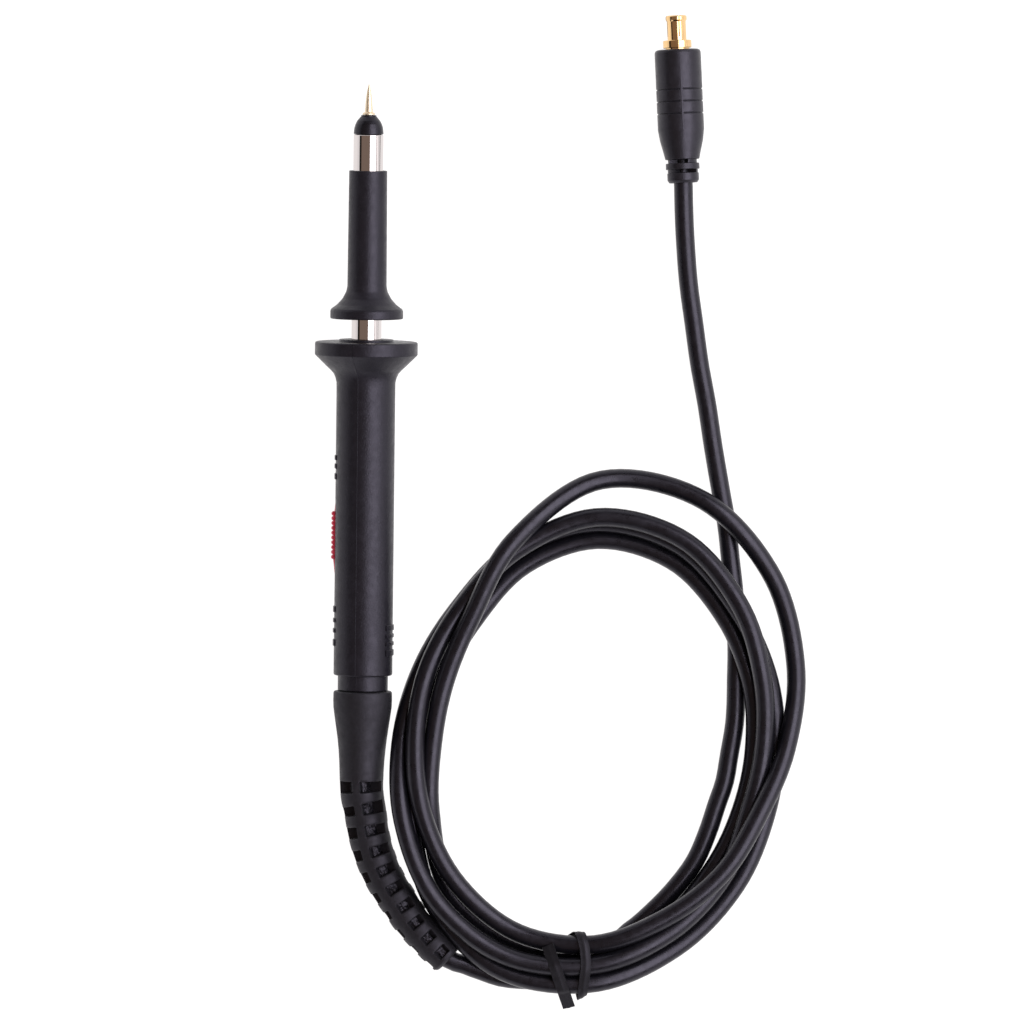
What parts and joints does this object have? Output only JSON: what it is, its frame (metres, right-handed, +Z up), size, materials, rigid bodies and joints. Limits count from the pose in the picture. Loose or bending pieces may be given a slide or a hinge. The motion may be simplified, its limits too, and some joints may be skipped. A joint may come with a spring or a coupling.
{
  "type": "oscilloscope probe",
  "caption": "Passive oscilloscope probe with a gold needle tip, slide attenuation switch, vented strain relief and a coiled lead ending in an MCX plug.",
  "frame": {"origin": "centre of the footprint of the rigid probe, needle point to handle spigot, on the table that it lies on", "axes": "+Z up; +Y along the probe towards its needle; +X to the side that the coiled lead lies on"},
  "size_m": [0.0818, 0.1644, 0.0171],
  "materials": {
    "gold_plate": "gold-plated, polished",
    "nose_plastic": "glossy moulded",
    "nickel_plate": "bright nickel plate",
    "handle_plastic": "fine spark-eroded texture",
    "red_plastic": "satin",
    "white_plastic": "smooth",
    "resistor_body": "lacquered",
    "copper_wire": "drawn copper",
    "tin_plate": "tinned",
    "board_laminate": "solder mask on glass laminate",
    "boot_rubber": "matte",
    "cable_jacket": "satin PVC",
    "tie_plastic": "satin strip",
    "plug_rubber": "matte"
  },
  "bodies": {
    "probe": {"barrel_liner": "white_plastic", "barrel_sleeve": "handle_plastic", "cable_core": "white_plastic", "cable_end": "cable_jacket", "circuit_board": "board_laminate", "cord_coil": "cable_jacket", "cord_lead": "cable_jacket", "cord_start": "cable_jacket", "crimp_ferrule": "tin_plate", "damping_resistor": "resistor_body", "fixed_capacitor": "resistor_body", "ground_barrel": "nickel_plate", "ground_clip": "tin_plate", "handle_shell_plain_side": "handle_plastic", "handle_shell_switch_side": "handle_plastic", "nose_insulator": "nose_plastic", "plug_centre_pin": "gold_plate", "plug_collar": "gold_plate", "plug_ferrule": "tin_plate", "plug_insulator": "white_plastic", "plug_outer_contact": "gold_plate", "plug_overmould": "plug_rubber", "probe_needle": "gold_plate", "signal_wire": "copper_wire", "strain_relief": "boot_rubber", "switch_housing": "handle_plastic", "tip_resistor": "resistor_body", "trimmer_body": "white_plastic", "twist_tie": "tie_plastic"},
    "switch_slider": {"switch_knob": "red_plastic", "switch_contact": "tin_plate"},
    "trimmer_screw": {"trimmer_rotor": "tin_plate"}
  },
  "joints": [
    {"name": "attenuation_switch", "type": "slide", "parent": "probe", "child": "switch_slider", "axis": [0, 0.9981, 0.061], "range_m": [-0.0022, 0]},
    {"name": "compensation_trimmer", "type": "hinge", "parent": "probe", "child": "trimmer_screw", "pos_m": [0, -0.00389, 0.00773], "axis": [-0.9659, 0.0158, -0.2583], "continuous": true}
  ]
}
